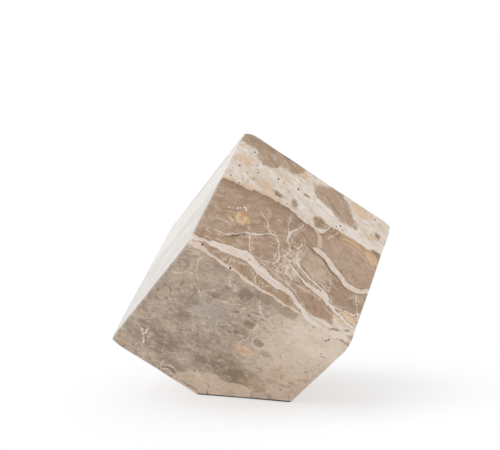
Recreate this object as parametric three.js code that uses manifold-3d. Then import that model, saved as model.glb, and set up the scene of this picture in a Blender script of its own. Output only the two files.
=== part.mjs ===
// A marble cube sculpture: one block of veined stone, a cube that stands on a corner sawn off flat.
// Millimetres, +Z up. The origin is the middle of the sawn base, on the surface that the block stands on.
import * as THREE from "three";
import { RoundedBoxGeometry } from "three/addons/geometries/RoundedBoxGeometry.js";
import { mergeVertices } from "three/addons/utils/BufferGeometryUtils.js";
import Module from "manifold-3d";

const wasm = await Module();
wasm.setup();

// Driving dimensions.
const EDGE = 127; // the cube from face to face, about 5 inches
const EASE_RADIUS = 2; // the arrises are rubbed down by hand to this radius
const EASE_FACETS = 5; // flat steps across half of one eased arris
const BASE_CUT = new THREE.Vector3(54.5, 49.3, 52.5); // length sawn off each edge at the corner below
const TOP_WEAR = new THREE.Vector3(8, 4, 4); // length worn off each edge at the corner on top
const RIDGE_HEADING = THREE.MathUtils.degToRad(6); // plan angle of the front ridge from +X

// The cube's own frame: x runs along the front ridge, y down the lower front face, z up the upper one.
const BELOW = new THREE.Vector3(1, 1, -1); // signs of the corner that is sawn off
const ABOVE = new THREE.Vector3(-1, -1, 1); // signs of the opposite corner, which ends up on top
const SAW_BLOCK = 2 * EDGE; // larger than any cut

const UP = new THREE.Vector3(0, 0, 1);
const DOWN = new THREE.Vector3(0, 0, -1);
const RIDGE = new THREE.Vector3(1, 0, 0);

// The plane that takes the given lengths off the three edges at one corner, facing out of the block.
function cornerPlane(signs, lengths) {
  const normal = signs.clone().divide(lengths).normalize();
  const corner = signs.clone().multiplyScalar(EDGE / 2);
  const ends = ["x", "y", "z"].map((axis) => {
    const end = corner.clone();
    end[axis] -= signs[axis] * lengths[axis];
    return end;
  });
  const centre = ends[0].clone().add(ends[1]).add(ends[2]).divideScalar(3);
  return { normal, centre };
}

// A closed geometry as a solid for cutting.
function toSolid(geometry) {
  const bare = geometry.clone();
  bare.deleteAttribute("normal");
  bare.deleteAttribute("uv");
  const merged = mergeVertices(bare);
  return new wasm.Manifold(
    new wasm.Mesh({
      numProp: 3,
      vertProperties: new Float32Array(merged.attributes.position.array),
      triVerts: new Uint32Array(merged.index.array),
    }),
  );
}

// A solid back as a geometry.
function toGeometry(solid) {
  const mesh = solid.getMesh();
  const geometry = new THREE.BufferGeometry();
  geometry.setAttribute("position", new THREE.BufferAttribute(mesh.vertProperties, 3));
  geometry.setIndex(new THREE.BufferAttribute(mesh.triVerts, 1));
  geometry.computeVertexNormals();
  return geometry;
}

// The block of waste on the outer side of a plane.
function waste({ normal, centre }) {
  const block = new THREE.BoxGeometry(SAW_BLOCK, SAW_BLOCK, SAW_BLOCK);
  block.translate(0, 0, SAW_BLOCK / 2);
  block.applyQuaternion(new THREE.Quaternion().setFromUnitVectors(UP, normal));
  block.translate(centre.x, centre.y, centre.z);
  return toSolid(block);
}

// The turn that sets the base face down and swings the front ridge to its heading.
function standing(baseNormal) {
  const settle = new THREE.Quaternion().setFromUnitVectors(baseNormal, DOWN);
  const ridge = RIDGE.clone().applyQuaternion(settle);
  const swing = RIDGE_HEADING - Math.atan2(ridge.y, ridge.x);
  return new THREE.Quaternion().setFromAxisAngle(UP, swing).multiply(settle);
}

const marble = new THREE.MeshStandardMaterial({ color: 0xb29d89, roughness: 0.35, metalness: 0 });

// The block: an eased cube, less the sawn corner below and the worn corner on top.
function marbleCube() {
  const base = cornerPlane(BELOW, BASE_CUT);
  const worn = cornerPlane(ABOVE, TOP_WEAR);
  const cube = toSolid(new RoundedBoxGeometry(EDGE, EDGE, EDGE, EASE_FACETS, EASE_RADIUS));
  const cut = cube.subtract(waste(base)).subtract(waste(worn));
  const mesh = new THREE.Mesh(toGeometry(cut), marble);
  mesh.name = "marble_cube";
  mesh.quaternion.copy(standing(base.normal));
  mesh.position.copy(base.centre).applyQuaternion(mesh.quaternion).negate();
  return mesh;
}

const sculpture = new THREE.Group();
sculpture.add(marbleCube());

export default sculpture;
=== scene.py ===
"""A marble cube sculpture: one block of veined brown marble that stands on a corner sawn off flat.

The block's own millimetres run from its front left corner: along the front ridge, down the lower front
face and up the upper front face. The stone's figure is drawn in them, so it goes right through the block.
"""

import math
import random

import bmesh
import bpy
from mathutils import Matrix, Vector
from mathutils import noise as solid_noise


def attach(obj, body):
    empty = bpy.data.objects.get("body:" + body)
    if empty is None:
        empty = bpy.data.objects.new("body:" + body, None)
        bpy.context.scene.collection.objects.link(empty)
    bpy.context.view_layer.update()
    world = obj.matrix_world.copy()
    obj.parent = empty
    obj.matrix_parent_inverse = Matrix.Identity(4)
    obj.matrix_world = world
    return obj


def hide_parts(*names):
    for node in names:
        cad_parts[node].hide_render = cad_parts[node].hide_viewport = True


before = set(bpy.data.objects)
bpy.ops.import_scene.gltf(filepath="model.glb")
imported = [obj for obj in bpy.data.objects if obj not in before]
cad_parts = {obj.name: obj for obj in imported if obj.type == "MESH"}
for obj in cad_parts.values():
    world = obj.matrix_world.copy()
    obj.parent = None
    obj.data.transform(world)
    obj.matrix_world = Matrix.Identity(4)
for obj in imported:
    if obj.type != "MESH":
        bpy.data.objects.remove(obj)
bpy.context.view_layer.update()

MM = 0.001  # the scene is in metres, and the stone's figure is drawn in millimetres
BLOCK_NODE = "marble_cube"
SEED = 7


# The block's frame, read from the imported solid

SAME_FACING = 0.99999  # the cosine between normals of one flat face
CUBE_FACES = 6
UPPER_FACING = Vector((0.4, -0.7, 0.6))  # roughly where the upper front face looks
LOWER_FACING = Vector((-0.3, -0.7, -0.6))
LEFT_FACING = Vector((-0.8, -0.1, 0.6))


def flat_faces(mesh):
    """The solid's flat faces, largest first, each with its area, normal and reach from the origin."""
    faces = []
    for polygon in mesh.polygons:
        for face in faces:
            if face["normal"].dot(polygon.normal) > SAME_FACING:
                face["area"] += polygon.area
                break
        else:
            reach = polygon.normal.dot(polygon.center)
            faces.append({"area": polygon.area, "normal": polygon.normal.copy(), "reach": reach})
    return sorted(faces, key=lambda face: -face["area"])


def face_towards(faces, direction):
    """The face that looks most nearly along a direction."""
    return max(faces, key=lambda face: face["normal"].dot(direction))


def meeting_point(faces):
    """The point where three flat faces meet."""
    normals = Matrix([face["normal"] for face in faces])
    return normals.inverted() @ Vector([face["reach"] for face in faces])


cad_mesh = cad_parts[BLOCK_NODE].data
cube_faces = flat_faces(cad_mesh)[:CUBE_FACES]
upper_face = face_towards(cube_faces, UPPER_FACING)
lower_face = face_towards(cube_faces, LOWER_FACING)
left_face = face_towards(cube_faces, LEFT_FACING)

ALONG = -left_face["normal"]  # along the front ridge
DOWN = -upper_face["normal"]  # down the lower front face, and into the block from the upper one
UP = -lower_face["normal"]  # up the upper front face, and into the block from the lower one
CORNER = meeting_point([upper_face, lower_face, left_face])
right_face = face_towards(cube_faces, ALONG)
EDGE = (right_face["reach"] + left_face["reach"]) / MM  # the cube's edge


def on_block(along, down, up):
    """A point of the block's own millimetres, in the scene."""
    return CORNER + (ALONG * along + DOWN * down + UP * up) * MM


# Colours, as the polished stone looks in white light, from 0 to 255

SHEEN = 0.058  # the polish adds this much white light, so the stone below is darker by as much


def paint(red, green, blue):
    """A colour as it looks, as the linear colour of the stone under the polish."""
    def linear(level):
        share = level / 255
        bright = ((share + 0.055) / 1.055) ** 2.4  # the usual curve of a screen
        return max(bright - SHEEN, 0.0)

    return (linear(red), linear(green), linear(blue), 1.0)


ROSE_BROWN = paint(183, 157, 136)
WARM_BROWN = paint(174, 147, 124)
DARK_BROWN = paint(151, 127, 105)
UMBER = paint(137, 117, 99)
PALE_BROWN = paint(190, 168, 147)
OLIVE = paint(173, 149, 120)
MOSS = paint(158, 139, 118)
TAUPE = paint(184, 164, 145)
GREY_TAUPE = paint(161, 144, 129)
COOL_GREY = paint(171, 159, 150)
# a cool grey laid over the left face as painted reflection
LEFT_REFLECTION_GREY = paint(169, 167, 160)
BEIGE = paint(201, 181, 160)
PALE_BEIGE = paint(221, 205, 188)
CREAM = paint(218, 202, 186)
BONE = paint(228, 215, 203)
WHITE = paint(238, 229, 221)
ROSE_CREAM = paint(220, 200, 186)
PEACH = paint(218, 187, 155)
OCHRE = paint(196, 160, 121)
AMBER = paint(190, 146, 106)
SEAM = paint(108, 90, 75)
# very dark: dust in the pits, and painted contact shadow on the base's rubbed arris
DUST_AND_BASE_SHADOW = paint(72, 64, 58)


# The figure on the upper front face: vein points are (along, up, half width), or for upright veins
# (up, along, half width)

CREAM_VEINS = [
    [(0, 8, 2.4), (9, 10.6, 1.2), (15, 12, 2.3), (22, 14, 3.4), (32, 16.6, 3.9), (40, 19.2, 3.8),
     (45, 17.2, 3.5), (52, 14.4, 3.7), (60, 13, 3.3), (70, 12.6, 2.6), (76, 12, 2.4), (80, 8.8, 2.6),
     (84, 6.2, 2.4), (89, 4, 2.2), (96, 2.4, 2), (108, 2, 2)],
    [(67, 35, 0.5), (71, 32.6, 0.8), (77, 30, 1), (83, 27.8, 1.6), (90, 27, 1.8), (96, 27, 2.8),
     (102, 24, 2.6), (108, 21.4, 1.6), (114, 19.5, 1.2), (124, 17, 0.8)],
    [(70.5, 42.5, 0.8), (73, 39.3, 0.8), (78, 35.8, 0.9), (84, 33.5, 0.9), (92, 32, 0.9), (98, 30, 1.1),
     (103, 26.5, 1.2)],
    [(104, 24.4, 0.5), (110, 24.2, 0.6), (115, 25.8, 0.7), (121, 26.4, 0.7), (126, 31, 0.8)],
]
# The pale line along the front ridge is partly a vein and partly a painted highlight of the eased ridge
# catching the light.
RIDGE_VEIN_AND_HIGHLIGHT = [
    [(-2, 3.5, 4), (7, 3.6, 3.2), (12, 3.2, 1.8), (18, 2.4, 1.2), (30, 1.8, 1), (42, 1.6, 0.9),
     (52, 1.4, 0.8), (70, 1.3, 0.7), (86, 1.2, 0.8), (96, 1, 1.2)],
]
WHITE_VEINS = [
    [(80, 61, 1.6), (86, 60.3, 2.6), (92, 57.5, 2.7), (98, 54, 2.7), (104, 51.4, 2.5), (109, 48.2, 2.4),
     (114, 47.8, 2.1), (119, 49, 2.1), (129, 54.5, 2.2)],
]
WHITE_VEINS_UPRIGHT = [
    [(60, 82, 1.8), (65, 82, 1.7), (70, 81.2, 1.8), (74, 79.4, 2.2), (78, 76.6, 2.8)],
]
FINE_VEINS = [
    [(4, 23.6, 0.3), (8, 22.3, 0.5), (14, 24.6, 0.4), (20, 26.2, 0.6), (25, 30, 0.7), (29, 35, 0.7),
     (31.5, 37.8, 0.9), (36, 39.4, 1.2), (41, 43.5, 1), (45, 48.5, 0.9), (50, 50.2, 0.8),
     (54, 47.5, 0.6)],
    [(36, 61, 0.6), (40, 59.3, 1), (43, 55, 0.9), (46, 51, 0.8)],
    [(42, 23.6, 0.3), (50, 23.7, 0.4), (55, 25.4, 0.5), (62, 26, 0.3), (67, 27.6, 0.3)],
    [(71, 44.5, 0.5), (77, 41, 0.5), (84, 38, 0.4), (91, 35.4, 0.4), (100, 33.4, 0.4)],
    [(119, 43, 0.4), (123.5, 40.8, 0.5)],
    [(46, 22, 0.2), (54, 20.5, 0.4), (62, 20, 0.3), (70, 18, 0.5), (77, 17.5, 0.5)],
    [(76, 34, 0.3), (84, 31, 0.4), (92, 29.8, 0.4)],
    [(59, 36, 0.4), (62, 38.5, 0.5), (67, 38, 0.4)],
    [(58, 31, 0.3), (63, 30, 0.4), (68, 30.8, 0.5), (72, 29.6, 0.3)],
    [(57, 22.6, 0.3), (64, 23.4, 0.5), (72, 25, 0.5), (80, 25.6, 0.3)],
    [(76, 22.4, 0.3), (82, 22, 0.5), (88, 22.4, 0.4), (96, 23, 0.4)],
    [(100, 21.6, 0.3), (107, 19, 0.4), (114, 17.4, 0.3)],
    [(84, 42, 0.2), (92, 38.6, 0.4), (99, 36.4, 0.3)],
]
FINE_VEINS_UPRIGHT = [
    [(36, 58.8, 0.8), (38.5, 61, 0.6), (42, 64, 0.7), (46, 63.6, 0.6), (51, 61.6, 0.7), (57, 59.6, 1.1),
     (61, 60.2, 1.2), (65, 62, 0.9), (69, 63.8, 0.6), (74, 65.5, 0.5)],
    [(60, 58.6, 0.6), (64, 56.4, 0.5), (70, 55.3, 0.4), (76, 54.6, 0.3)],
    [(26, 56.8, 0.6), (31, 58.6, 0.6), (36, 58.6, 0.8), (40, 57, 0.7), (45, 55.3, 0.8), (48.5, 53, 0.6)],
    [(22, 40, 0.7), (26, 38.8, 0.8), (31, 36.9, 0.6), (37, 34.7, 0.7)],
    [(40, 71.6, 0.8), (46, 69.6, 0.9), (49, 68.6, 0.8), (53, 68.4, 0.5)],
    [(25, 67, 0.6), (32, 66.4, 0.8), (38, 67.6, 0.8), (44, 69.3, 0.5)],
    [(26, 125, 0.7), (32, 123.4, 0.5), (38, 121, 0.5), (44, 118.6, 0.6)],
    [(79, 79.5, 0.5), (83, 81.5, 0.5), (88, 83.6, 0.3)],
    [(77, 86, 0.5), (82, 88, 0.5), (88, 90.6, 0.3)],
    [(33, 99.4, 0.4), (38, 98.6, 0.4), (43, 97.2, 0.3)],
    [(53, 68.8, 0.5), (57, 70, 0.6), (60.5, 68.2, 0.5)],
    [(2, 29, 0.4), (6, 30, 0.5), (10, 29.4, 0.3)],
    [(3, 50.5, 0.4), (7, 49, 0.5), (10, 47, 0.4)],
    [(3, 56, 0.4), (9, 60, 0.4)],
    [(46, 69.4, 0.4), (50, 70.4, 0.4), (55, 71.5, 0.3)],
    [(20, 62, 0.3), (25, 60.6, 0.5), (30, 61.4, 0.4), (36, 63.6, 0.3)],
    [(22, 72, 0.3), (27, 70.4, 0.5), (33, 70.8, 0.4)],
    [(52, 43, 0.3), (56, 42, 0.6), (60, 41.6, 0.4), (64, 40.4, 0.3)],
]
RIM_ARCS = [
    [(86, 80, 0.4), (93, 84.5, 0.7), (103, 87, 0.9), (113, 85.5, 0.8), (121, 81, 0.6), (128, 75, 0.5)],
    [(92, 79, 0.3), (100, 82.5, 0.5), (108, 83, 0.6), (116, 80, 0.5), (124, 74, 0.4)],
]
DARK_SEAMS = [
    [(20, 24.6, 0.6), (24, 27.3, 0.9), (28, 31.5, 1), (31, 36, 0.6)],
    [(40, 41.4, 0.3), (43.5, 45, 0.5), (47, 48.5, 0.3)],
    [(72, 59.6, 0.4), (80, 58.2, 0.6), (87, 56.2, 0.7), (93, 52.6, 0.8), (98, 49.9, 0.7),
     (104, 48.6, 0.6), (110, 45, 0.6)],
    [(22, 126.4, 0.3), (34, 126, 0.9), (50, 126, 1), (62, 126.4, 0.4)],
]

BAND_FOOT = [
    (0, 70.5), (5, 71.6), (11, 73), (20, 74.2), (26, 77.5), (32, 79), (42, 79.8), (51, 80.6), (58, 79),
    (66, 77.3), (70, 78.8), (75, 78.4), (79, 78), (82, 80), (84, 87), (87, 89), (100, 90), (109, 91),
    (114, 90), (119, 93), (127, 94),
]
TOP_LEFT_FOOT = [
    (0, 113), (9, 113), (13.5, 114.6), (15.5, 108), (19, 105.2), (26, 105), (31, 108), (35, 113.6),
    (44, 114), (48, 117), (51, 124), (54, 131),
]
TOP_RIGHT_FOOT = [
    (61, 116), (65, 109), (70, 106), (76, 105), (82, 103), (86, 100), (94, 100), (101, 100.5),
    (104, 104),
]
TOP_RIGHT_HEAD = [
    (61, 116), (66, 120), (70, 122), (76, 125), (82, 126), (86, 122), (92, 117), (95, 113), (98, 108),
    (104, 104),
]

BRIGHT_FOOT = [
    (58, 100), (64, 96), (70, 93), (76, 90.5), (84, 89), (100, 90), (109, 91), (114, 90), (119, 93),
    (127, 94),
]
BRIGHT_HEAD = [
    (58, 100), (64, 103), (72, 104), (80, 102), (84, 99), (92, 99), (102, 100), (110, 98.5), (118, 99),
    (127, 102),
]

# Patches are (along, up or down, half length, half height, turn in degrees).
BROWN_ISLANDS = [
    (41, 87, 5, 2.2, 0), (53.5, 89, 3, 3.8, 10), (76, 86, 6, 5, 0), (89, 85.5, 5.5, 3.8, 0),
    (59, 101.7, 2.4, 1.5, 0), (119.6, 107.5, 1.8, 3.4, 20), (123, 90.5, 4, 1.8, -20),
]
LOWER_BROWNS = [
    (94, 14.8, 14, 6.6, -4), (44, 9, 6, 3.6, 0), (66, 5.6, 17, 3, 4), (112.5, 6.3, 4.4, 1, 25),
    (121, 12, 2.2, 0.9, 30), (119.5, 1.5, 1.2, 0.9, 0),
]
DARK_GROUNDS = [(110, 36, 16, 9, -8), (58, 69, 12, 6, 0)]
PALE_GROUNDS = [(9, 58, 9, 8, 20), (12, 34, 9, 5, 20)]
DARK_CORNER = [(10, 121, 10, 4, 0)]
PALE_BLOCK = [(85, 46.5, 13.5, 9, -18)]
OLIVE_PATCHES = [(78, 74.8, 3, 2.8, 0), (20, 20, 9, 3, 30)]
PEACH_PATCHES = [
    (8, 98.5, 7.5, 4.6, 0), (18, 75.8, 5, 2.4, 12), (30, 86.5, 6.5, 4, 0), (40, 106.5, 3.2, 2.4, 0),
    (114.5, 103, 5, 1.6, 25), (101, 120, 8, 6, 0), (50, 119, 4, 4, 0), (38, 79.5, 8, 2, 5),
]
RIGHT_PEACHES = [(118, 20, 8, 6, 30), (121, 84, 6, 4, -30), (18, 40.5, 2.8, 1.2, -52)]
ROSE_BLOCK = [(107, 68, 23, 18, -6)]
CREAM_PATCHES = [(118, 16, 10, 9, 0), (106, 4, 20, 4, 3), (4, 126, 5, 1.4, 0)]
BRECCIA = [(69, 34, 7, 15, 8)]
GOLDEN = [(66, 20.5, 9, 4, -4)]
SHELL = [(25, 47.3, 6.2, 4.8, 8)]
SHELL_HEART = [(24.6, 51.2, 2.6, 1.9, 0)]
SHELL_FLECKS = [
    (23.4, 56.5, 1.3, 0.6, 25), (25, 55.6, 0.7, 1, 0), (18.8, 52.3, 0.5, 1.2, 0),
    (13.6, 48.6, 1, 0.5, 35), (20.6, 53.8, 0.6, 0.5, 0),
]


# The figure on the lower front face: vein points are (along, down, half width), or for upright veins
# (down, along, half width)

LOWER_VEINS = [
    [(4, 30.5, 0.3), (9, 26.3, 0.5), (15, 21.6, 0.6)],
    [(15, 21.5, 0.5), (17.5, 20, 0.6), (19.8, 24, 0.5)],
    [(25.6, 32.8, 0.4), (29, 28.6, 0.5), (34, 22.6, 0.3)],
    [(39, 11.6, 0.4), (43, 12.8, 0.4)],
    [(65.5, 18.4, 0.5), (71, 20.2, 0.6), (78, 20.6, 0.3)],
    [(4, 93.4, 0.4), (9, 94.6, 0.5), (13, 96.4, 0.6)],
    [(40.5, 116.6, 0.6), (44, 114.6, 0.9), (48, 114, 0.8), (52, 116.4, 0.8)],
    [(42, 121.4, 0.6), (46, 119.4, 1), (50, 121, 0.8)],
    [(115.6, 43.8, 0.3), (119.6, 38.6, 0.3)],
    [(28, 32, 0.2), (38, 30, 0.3), (48, 26, 0.3), (53, 23, 0.2)],
]
LOWER_VEINS_UPRIGHT = [
    [(5, 12.6, 0.2), (12, 14, 0.4), (16, 15, 0.5), (22, 15, 0.5)],
    [(32, 25.6, 0.4), (36, 28.6, 0.3)],
    [(5.5, 36.4, 0.4), (9, 37.8, 0.5), (12, 40, 0.4)],
    [(7, 41.3, 0.3), (13, 43.4, 0.3)],
    [(8, 61, 0.3), (13, 62.6, 0.5), (16, 64.4, 0.6), (18.6, 66, 0.5)],
    [(42, 71.3, 0.2), (46, 72, 0.5), (50, 71, 0.4), (56, 70, 0.2)],
    [(41, 74.6, 0.2), (46, 76.6, 0.4), (50, 78.8, 0.3)],
    [(96, 13, 0.5), (101, 15.8, 0.6), (105, 17.6, 0.8), (109, 18.6, 0.6)],
    [(93, 15.4, 0.5), (97, 16.4, 0.8), (101, 16, 0.4)],
    [(109, 18.3, 0.3), (113, 16, 0.3), (118, 16, 0.2)],
    [(109, 18.8, 0.3), (114, 21, 0.2)],
    [(113, 38.8, 0.4), (119, 39.6, 0.5), (124, 41.3, 0.4)],
    [(25, 69, 0.3), (30, 71.4, 0.4), (36, 71, 0.2)],
]
LOWER_SEAMS = [
    [(58, 121.4, 0.4), (64, 122.8, 0.7), (70, 122, 0.5)],
    [(73.6, 109.5, 0.3), (76, 113.5, 0.7), (78, 118, 0.9)],
    [(117, 43.4, 0.4), (120.5, 39, 0.4)],
]
SCALLOP_HEAD = [
    (50, 128), (52.5, 117), (55, 112), (60, 106.6), (66, 104), (70, 98.6), (76, 97), (82, 97), (87, 94),
    (92, 91), (97, 90), (101, 93), (104, 99), (107, 110),
]
LIGHT_ZONE = [(112, 12, 34, 16, 0)]
HALF_LIGHT_ZONE = [(98, 34, 26, 20, -10)]
BEIGE_ZONES = [(105, 46, 28, 32, 0), (114, 76, 16, 14, 0)]
GREY_CLOUDS = [(40, 44, 13, 12, 30), (47, 101, 8, 8, 0)]
PALE_CLOUDS = [(48, 100, 6, 7, 0), (7, 22, 6, 7, 0), (92, 97, 5, 4, -20)]
DARK_ZONES = [
    (62, 46, 9, 7, 0), (80, 84, 17, 12, 10), (28, 98, 20, 12, 0), (56, 91, 9, 6, 0), (44, 111, 10, 6, 0),
]
BROWN_SPOTS = [
    (51, 11.5, 4.8, 6.4, 8), (66.5, 33, 4.4, 4.4, 20), (80, 44.5, 4, 3.4, 0), (36.5, 27.5, 2.8, 3.6, 0),
    (46.5, 117.5, 4.4, 1.6, 10), (82, 84, 4, 4, 0),
]
FAINT_SPOTS = [
    (88.5, 50.5, 4, 3.2, 0), (27, 44, 3.6, 4.6, 0), (29, 62, 4.4, 5.6, 0), (63, 5, 4, 4.4, 0),
    (4, 8, 2.6, 2.2, 0), (104, 84.5, 4.5, 2.6, -20), (98, 97, 4, 2, 0),
]
BROWN_RINGS = [(19, 38, 5, 7.6, 0), (8, 53, 4.4, 8, 0), (66, 24, 4, 4, 0), (6, 19, 3, 3.6, 0)]
OLIVE_WEDGE = [(76, 4, 11, 4.6, 6)]
LOWER_PEACHES = [
    (104, 58, 4, 8, 0), (123, 56, 4, 3, 0), (95, 84, 4, 6, 0), (8, 119, 4, 3, 0), (19.5, 12, 3, 3, 0),
    (108, 80, 5, 4, 0),
]
LOWER_SHELL = [(76.3, 59, 6, 4.4, 0)]
LOWER_SHELL_HEART = [(75.6, 59.6, 2.6, 2, 0)]
THREAD_ZONES = [(64, 20, 14, 13, 0), (66, 46, 10, 8, 0)]
FLECK_CLUSTERS = [
    (18, 100, 3.6, 7, -10), (63, 105, 3.6, 3.2, 0), (50, 102, 3, 4, 0), (34, 104, 2, 2, 0),
    (51, 47, 6, 2, -45), (46, 57, 4, 1.6, 0), (44, 68, 5, 2, 0),
]

# Open pits are (along, up or down, radius).
UPPER_PITS = [
    (7, 90, 0.9), (20, 86, 0.7), (21, 94, 0.6), (36, 100.5, 0.8), (52, 103, 1), (4.5, 76.5, 0.7),
    (12.5, 110.5, 0.7), (14, 87.5, 0.5), (13, 80.5, 0.5), (17, 81, 0.45), (12, 74.5, 0.6),
    (18.5, 100, 0.5), (46.5, 95, 0.45), (48.5, 83.5, 0.7), (64.7, 49.3, 0.9), (32, 2, 0.9),
    (8.8, 6, 0.8), (90.5, 95, 0.8), (93, 92.5, 0.55), (88, 92.2, 0.55), (41, 17.5, 0.6),
    (113, 121.5, 0.8),
]
LOWER_PITS = [
    (99.3, 2.5, 0.7), (112.5, 4.5, 0.8), (112, 6.7, 0.8), (116, 20, 0.6), (117.5, 22, 0.5),
    (119.2, 21.3, 0.7), (114.5, 72.3, 0.5), (97.5, 43.7, 0.5),
]


# Building blocks for shader trees

class Graph:
    """Adds nodes to one shader tree. A value is a number, a vector, a colour or another node's output."""

    def __init__(self, tree):
        self.tree = tree

    def node(self, kind, feeds=None, **settings):
        made = self.tree.nodes.new(kind)
        for name, setting in settings.items():
            setattr(made, name, setting)
        for place, value in (feeds or {}).items():
            self.feed(made.inputs[place], value)
        return made

    def feed(self, socket, value):
        if isinstance(value, bpy.types.NodeSocket):
            self.tree.links.new(value, socket)
        else:
            socket.default_value = value

    def math(self, operation, first, second=0.0, third=0.0):
        feeds = {0: first, 1: second, 2: third}
        return self.node("ShaderNodeMath", feeds, operation=operation).outputs[0]

    def plus(self, first, second):
        return self.math("ADD", first, second)

    def minus(self, first, second):
        return self.math("SUBTRACT", first, second)

    def times(self, first, second):
        return self.math("MULTIPLY", first, second)

    def joined(self, distances):
        """The distance to several shapes that run into each other."""
        run_together = 0.8  # millimetres
        nearest = distances[0]
        for distance in distances[1:]:
            nearest = self.math("SMOOTH_MIN", nearest, distance, run_together)
        return nearest

    def fade(self, value, start, end):
        """0 up to start and 1 from end on, with a smooth run between."""
        feeds = {"Value": value, "From Min": start, "From Max": end}
        return self.node("ShaderNodeMapRange", feeds, interpolation_type="SMOOTHSTEP").outputs[0]

    def remap(self, value, start, end, low, high):
        """A value from start to end, as a value from low to high."""
        feeds = {"Value": value, "From Min": start, "From Max": end, "To Min": low, "To Max": high}
        return self.node("ShaderNodeMapRange", feeds).outputs[0]

    def vector(self, operation, first, second=(0, 0, 0)):
        made = self.node("ShaderNodeVectorMath", {0: first, 1: second}, operation=operation)
        return made.outputs[1 if operation in ("DOT_PRODUCT", "LENGTH") else 0]

    def stretched(self, vector, factor):
        feeds = {0: vector, "Scale": factor}
        return self.node("ShaderNodeVectorMath", feeds, operation="SCALE").outputs[0]

    def shrunk(self, vector, size):
        return self.vector("DIVIDE", vector, self.together(size, size, size))

    def parts(self, vector):
        return self.node("ShaderNodeSeparateXYZ", {0: vector}).outputs[:3]

    def together(self, x, y, z=0.0):
        return self.node("ShaderNodeCombineXYZ", {0: x, 1: y, 2: z}).outputs[0]

    def noise(self, position, size, detail=2.0, roughness=0.5):
        """Cloudy noise whose lumps are about this many millimetres across: (value, colour) outputs."""
        feeds = {"Vector": position, "Scale": 1 / size, "Detail": detail, "Roughness": roughness}
        made = self.node("ShaderNodeTexNoise", feeds, noise_dimensions="3D")
        return made.outputs[0], made.outputs[1]

    def mix(self, mask, under, over):
        feeds = {0: mask, 6: under, 7: over}
        return self.node("ShaderNodeMix", feeds, data_type="RGBA").outputs[2]

    def shade(self, colour, amount):
        """A colour made lighter or darker by a factor."""
        feeds = {0: 1.0, 6: colour, 7: amount}
        return self.node("ShaderNodeMix", feeds, data_type="RGBA", blend_type="MULTIPLY").outputs[2]

    def profile(self, share, points):
        """A drawn line as a curve of height over a share from 0 to 1 of its run."""
        heights = [height for _, height in points]
        low = min(heights)
        rise = max(max(heights) - low, 0.001)
        first = points[0][0]
        run = points[-1][0] - first
        made = self.node("ShaderNodeFloatCurve", {"Value": share})
        curve = made.mapping.curves[0]
        while len(curve.points) < len(points):
            curve.points.new(0.5, 0.5)
        for point, (place, height) in zip(curve.points, points):
            point.location = ((place - first) / run, (height - low) / rise)
            point.handle_type = "AUTO_CLAMPED"
        made.mapping.update()
        return self.math("MULTIPLY_ADD", made.outputs[0], rise, low)

    def line(self, along, points):
        """The height of a drawn line at a place along it."""
        share = self.remap(along, points[0][0], points[-1][0], low=0.0, high=1.0)
        return self.profile(share, points)

    def stroke(self, along, across, points):
        """The distance from the side of a vein, which thins out past its ends. Below 0 is in the vein."""
        taper = 2.5  # a vein runs out over this length
        gone = -3.0  # the half width where it has run out
        first = points[0]
        last = points[-1]
        points = [(first[0] - taper, first[1], gone), *points, (last[0] + taper, last[1], gone)]
        share = self.remap(along, points[0][0], points[-1][0], low=0.0, high=1.0)
        centre = self.profile(share, [(place, height) for place, height, _ in points])
        half = self.profile(share, [(place, width) for place, _, width in points])
        off = self.math("ABSOLUTE", self.minus(across, centre))
        return self.minus(off, half)

    def use(self, group, **feeds):
        """Places a node group, and returns its outputs by name."""
        made = self.node("ShaderNodeGroup", node_tree=group)
        for name, value in feeds.items():
            self.feed(made.inputs[name.replace("_", " ")], value)
        return made.outputs


SOCKET_KINDS = {"vector": "NodeSocketVector", "value": "NodeSocketFloat", "colour": "NodeSocketColor"}


def new_group(name, inputs, outputs):
    """An empty shader node group with named sockets: (group, graph, inputs by name, the output node)."""
    group = bpy.data.node_groups.new(name, "ShaderNodeTree")
    for way, sockets in (("INPUT", inputs), ("OUTPUT", outputs)):
        for socket, kind in sockets.items():
            group.interface.new_socket(name=socket, in_out=way, socket_type=SOCKET_KINDS[kind])
    graph = Graph(group)
    given = graph.node("NodeGroupInput").outputs
    result = graph.node("NodeGroupOutput")
    return group, graph, given, result.inputs


# Shared effects

def block_millimetres_group():
    """Object coordinates to the block's own millimetres: along, down, up."""
    inputs = {"Position": "vector"}
    group, graph, given, result = new_group("Block millimetres", inputs, {"Block": "vector"})
    from_corner = graph.vector("SUBTRACT", given["Position"], CORNER)
    ways = [graph.vector("DOT_PRODUCT", from_corner, way / MM) for way in (ALONG, DOWN, UP)]
    graph.feed(result["Block"], graph.together(*ways))
    return group


def patch_group():
    """The distance in millimetres from the rim of a turned oval patch. Below 0 is inside."""
    inputs = {"Place": "vector", "Centre": "vector", "Radii": "vector"}
    inputs |= {"Turn": "value", "Mean radius": "value"}
    group, graph, given, result = new_group("Oval patch", inputs, {"Distance": "value"})
    from_centre = graph.vector("SUBTRACT", given["Place"], given["Centre"])
    turned = graph.node("ShaderNodeVectorRotate", {"Vector": from_centre, "Angle": given["Turn"]},
                        rotation_type="Z_AXIS").outputs[0]
    share = graph.vector("LENGTH", graph.vector("DIVIDE", turned, given["Radii"]))
    graph.feed(result["Distance"], graph.times(graph.minus(share, 1.0), given["Mean radius"]))
    return group


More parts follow.
